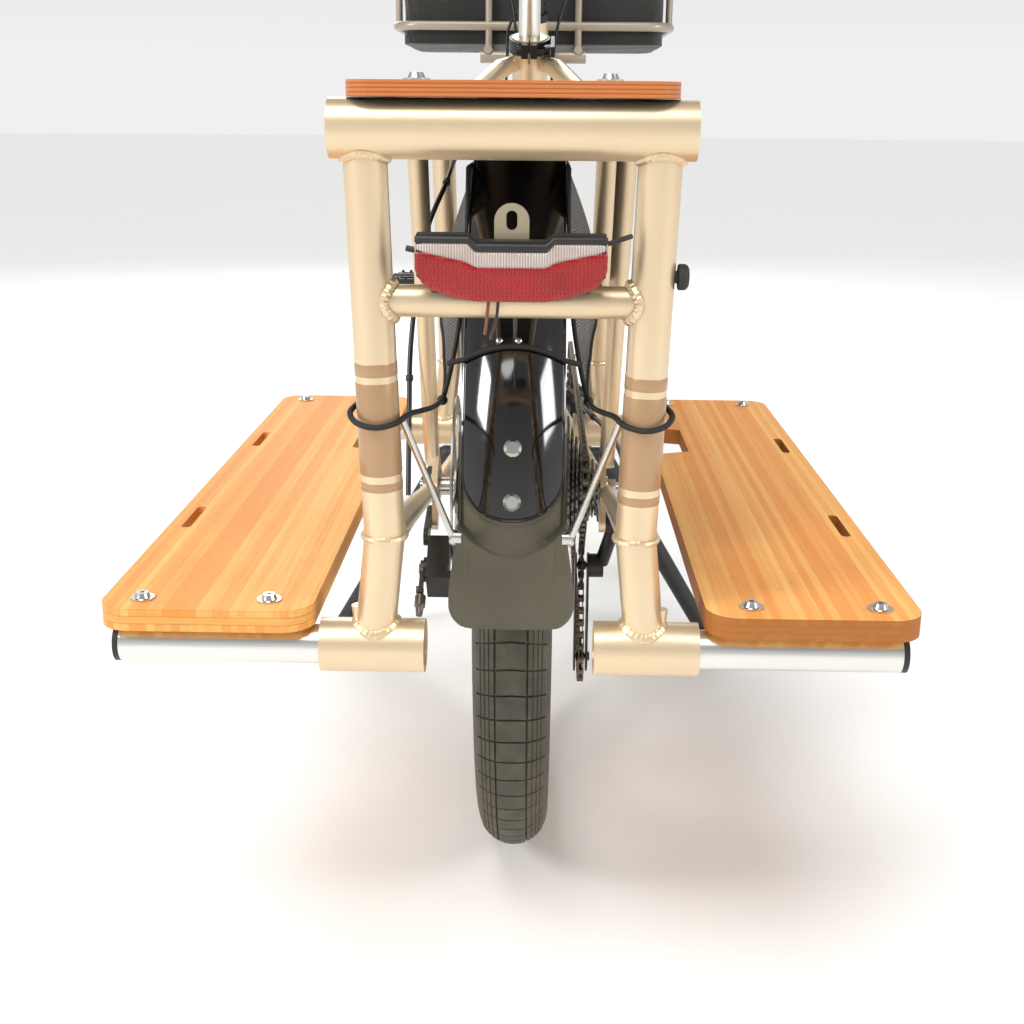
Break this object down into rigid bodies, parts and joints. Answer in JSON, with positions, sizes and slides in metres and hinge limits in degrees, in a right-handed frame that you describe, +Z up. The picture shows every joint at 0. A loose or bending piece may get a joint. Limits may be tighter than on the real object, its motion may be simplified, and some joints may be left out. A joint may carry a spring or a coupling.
{
  "type": "cargo bicycle",
  "caption": "Longtail cargo bicycle with a rear deck, bamboo running boards, front basket and double-leg stand, with working steering, drive, brakes and stand.",
  "frame": {"origin": "on the ground, at the middle of the bicycle's length and width", "axes": "+Y forward along the bicycle, +X to the rider's right, +Z up"},
  "size_m": [0.6608, 2.0834, 1.0885],
  "materials": {
    "champagne_frame": "satin champagne lacquer over aluminium",
    "bamboo": "clear oiled bamboo ply",
    "deck_ply": "lacquered plywood with dark layers",
    "bright_alloy": "satin bright",
    "bright_steel": "bright zinc-plated",
    "black_plastic": "moulded black",
    "gloss_black": "gloss black",
    "black_alloy": "satin black anodised",
    "red_lens": "clear red reflector",
    "warm_grey_rubber": "moulded rubber",
    "tyre_rubber": "treaded rubber",
    "grip_rubber": "ribbed rubber",
    "skirt_mesh": "open woven mesh",
    "elastic_cord": "braided elastic",
    "cable_housing": "smooth outer casing",
    "chain_steel": "oiled steel",
    "cog_steel": "dark plated steel",
    "saddle_cover": "stitched cover",
    "taupe_tube": "satin taupe"
  },
  "bodies": {
    "frame": {"main_frame": "champagne_frame", "rear_stays": "champagne_frame", "rack_frame": "champagne_frame", "deck_board": "deck_ply", "side_loader_tubes": "bright_alloy", "tube_end_caps": "black_plastic", "running_board_left": "bamboo", "running_board_right": "bamboo", "board_bolts": "bright_steel", "tail_light_bracket": "bright_steel", "tail_light_housing": "black_plastic", "tail_light_lens": "red_lens", "light_wires": "cable_housing", "rear_fender": "gloss_black", "rear_mudflap": "warm_grey_rubber", "fender_fixings": "bright_steel", "wheel_skirts": "skirt_mesh", "skirt_cords": "elastic_cord", "rear_axle": "bright_steel", "rear_caliper": "black_alloy", "chain": "chain_steel", "derailleur": "black_alloy", "bearing_cups": "black_alloy", "seat_clamp": "black_alloy", "control_cables": "cable_housing", "basket": "taupe_tube", "basket_liner": "skirt_mesh", "kickstand_bracket": "black_alloy"},
    "rear_wheel": {"rear_hub": "black_alloy", "rear_rim": "black_alloy", "rear_tyre": "tyre_rubber", "rear_spokes": "bright_steel", "rear_disc": "bright_steel"},
    "cassette": {"cassette": "cog_steel"},
    "guide_pulley": {"guide_pulley": "black_plastic"},
    "tension_pulley": {"tension_pulley": "black_plastic"},
    "crank": {"crankset": "black_alloy"},
    "pedal_left": {"pedal_left": "black_plastic"},
    "pedal_right": {"pedal_right": "black_plastic"},
    "seat_clamp_lever": {"seat_clamp_lever": "black_alloy"},
    "seatpost": {"seatpost": "bright_alloy", "saddle": "saddle_cover"},
    "steering": {"fork": "champagne_frame", "front_axle": "bright_steel", "front_caliper": "black_alloy", "front_fender": "gloss_black", "stem": "black_alloy", "handlebar": "black_alloy", "grips": "grip_rubber", "lever_brackets": "black_alloy", "front_brake_cable": "cable_housing"},
    "front_wheel": {"front_hub": "black_alloy", "front_rim": "black_alloy", "front_tyre": "tyre_rubber", "front_spokes": "bright_steel", "front_disc": "bright_steel"},
    "brake_lever_left": {"brake_lever_left": "black_alloy"},
    "brake_lever_right": {"brake_lever_right": "black_alloy"},
    "twist_shifter": {"twist_shifter": "grip_rubber"},
    "kickstand": {"kickstand": "black_alloy"}
  },
  "joints": [
    {"name": "steering", "type": "hinge", "parent": "frame", "child": "steering", "pos_m": [0, 0.531, 0.704], "axis": [0, -0.3206, 0.9472], "range_deg": [-45, 45], "deforming": ["control_cables"]},
    {"name": "front_wheel_spin", "type": "hinge", "parent": "steering", "child": "front_wheel", "pos_m": [0, 0.7, 0.344], "axis": [1, 0, 0], "continuous": true},
    {"name": "rear_wheel_spin", "type": "hinge", "parent": "frame", "child": "rear_wheel", "pos_m": [0, -0.596, 0.344], "axis": [1, 0, 0], "continuous": true},
    {"name": "crank_spin", "type": "hinge", "parent": "frame", "child": "crank", "pos_m": [0, 0.099, 0.29], "axis": [1, 0, 0], "continuous": true},
    {"name": "cassette_spin", "type": "hinge", "parent": "frame", "child": "cassette", "pos_m": [0, -0.596, 0.344], "axis": [1, 0, 0], "continuous": true},
    {"name": "guide_pulley_spin", "type": "hinge", "parent": "frame", "child": "guide_pulley", "pos_m": [0.064, -0.592, 0.262], "axis": [1, 0, 0], "continuous": true},
    {"name": "tension_pulley_spin", "type": "hinge", "parent": "frame", "child": "tension_pulley", "pos_m": [0.064, -0.604, 0.168], "axis": [1, 0, 0], "continuous": true},
    {"name": "pedal_left_spin", "type": "hinge", "parent": "crank", "child": "pedal_left", "pos_m": [-0.151, 0.099, 0.46], "axis": [1, 0, 0], "continuous": true},
    {"name": "pedal_right_spin", "type": "hinge", "parent": "crank", "child": "pedal_right", "pos_m": [0.151, 0.099, 0.12], "axis": [1, 0, 0], "continuous": true},
    {"name": "kickstand_fold", "type": "hinge", "parent": "frame", "child": "kickstand", "pos_m": [0, -0.146, 0.262], "axis": [-1, 0, 0], "range_deg": [0, 78]},
    {"name": "seatpost_slide", "type": "slide", "parent": "frame", "child": "seatpost", "axis": [0, -0.3206, 0.9472], "range_m": [-0.06, 0.08]},
    {"name": "seat_clamp_lever_open", "type": "hinge", "parent": "frame", "child": "seat_clamp_lever", "pos_m": [0.024, -0.09535, 0.77373], "axis": [0, 0.3206, -0.9472], "range_deg": [0, 100]},
    {"name": "brake_lever_right_squeeze", "type": "hinge", "parent": "steering", "child": "brake_lever_right", "pos_m": [0.19783, 0.48538, 1.053], "axis": [-0.2034, -0.4568, -0.866], "range_deg": [0, 14], "stiffness_Nm_per_rad": 1.5},
    {"name": "brake_lever_left_squeeze", "type": "hinge", "parent": "steering", "child": "brake_lever_left", "pos_m": [-0.19783, 0.48538, 1.053], "axis": [-0.2034, 0.4568, 0.866], "range_deg": [0, 14], "stiffness_Nm_per_rad": 1.5},
    {"name": "gear_twist", "type": "hinge", "parent": "steering", "child": "twist_shifter", "pos_m": [0.20869, 0.44831, 1.07], "axis": [0.9135, -0.4067, 0], "range_deg": [-60, 60]}
  ],
  "couplings": [
    {"joint": "cassette_spin", "follows": "crank_spin", "ratio": 2.2222},
    {"joint": "guide_pulley_spin", "follows": "crank_spin", "ratio": -3.6364},
    {"joint": "tension_pulley_spin", "follows": "crank_spin", "ratio": 3.6364}
  ]
}
